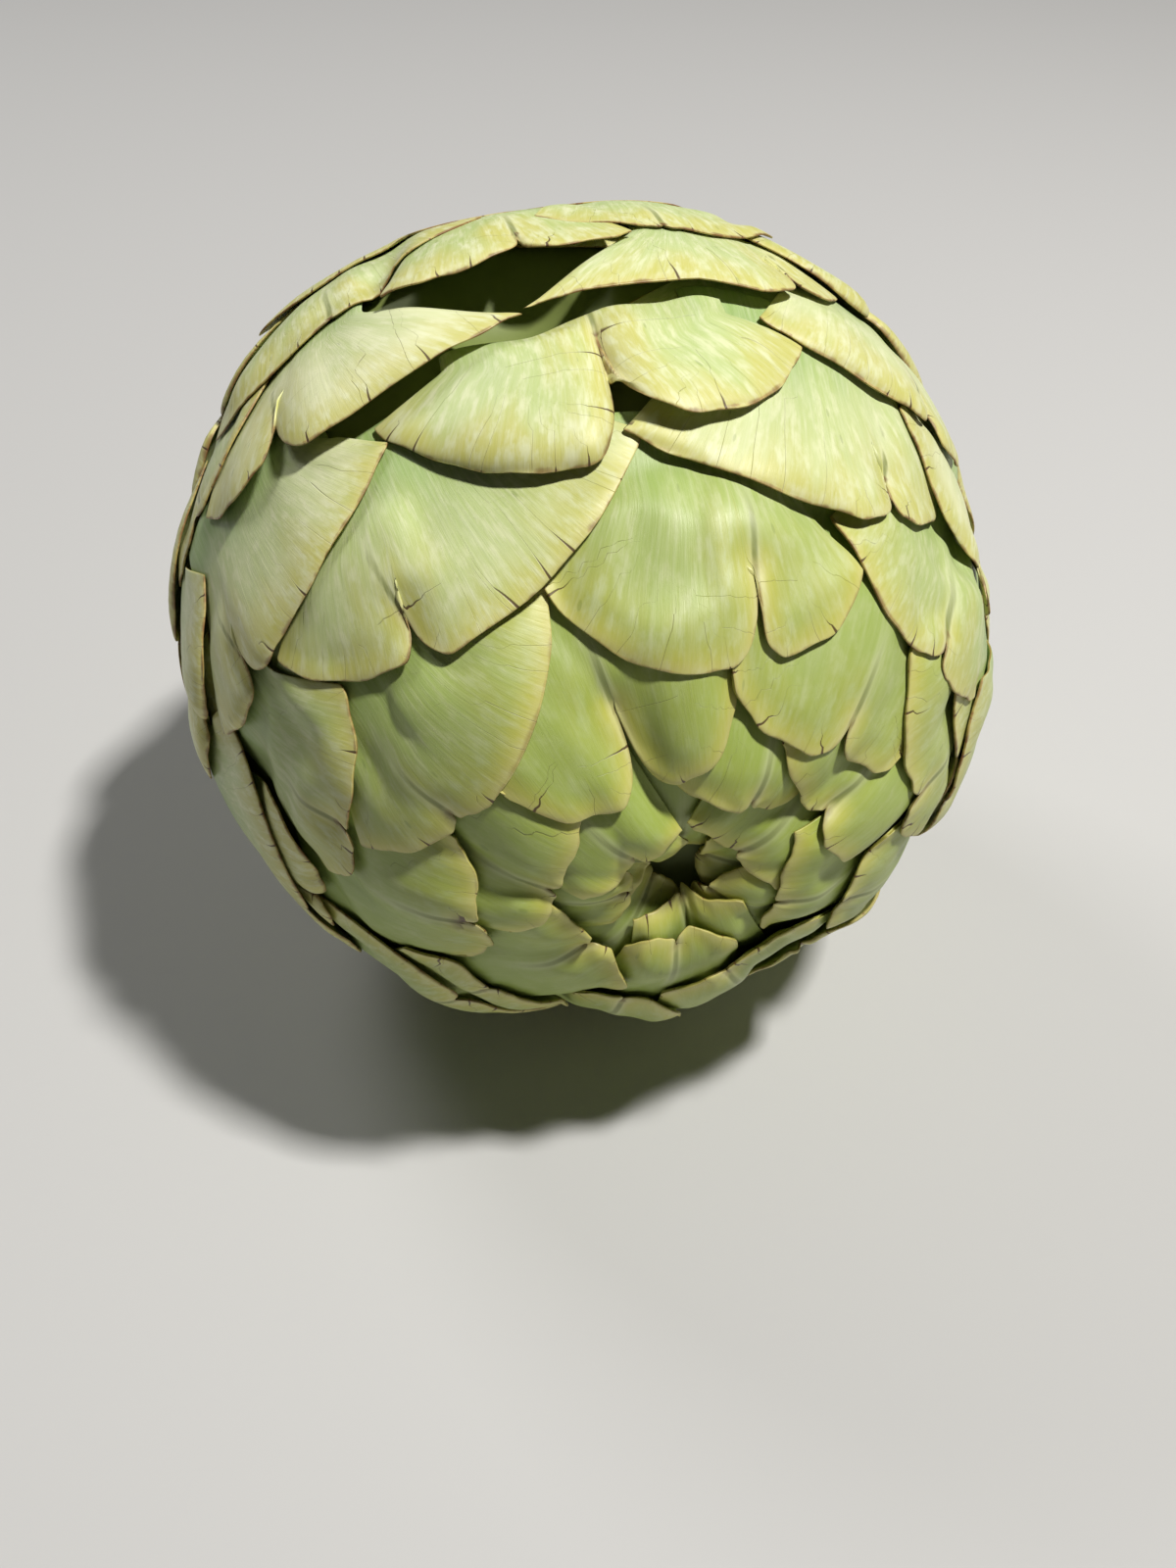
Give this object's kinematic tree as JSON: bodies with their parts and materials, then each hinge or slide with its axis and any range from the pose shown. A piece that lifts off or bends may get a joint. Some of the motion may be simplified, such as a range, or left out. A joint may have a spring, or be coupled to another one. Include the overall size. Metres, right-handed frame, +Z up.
{
  "type": "globe artichoke",
  "caption": "Fresh round artichoke head of layered notched bracts with a short cut stem, lying on its side.",
  "frame": {"origin": "under the middle of the artichoke's box, on the surface that it lies on", "axes": "-Y points out of the bud's tip and +Y along the cut stem, +Z is up"},
  "size_m": [0.1096, 0.1186, 0.109],
  "materials": {
    "bracts": "waxy pale green, silky sheen",
    "stem": "ribbed matt green, cut end pale and fibrous"
  },
  "bodies": {
    "root": {"head": "bracts", "stem": "stem"}
  },
  "joints": []
}
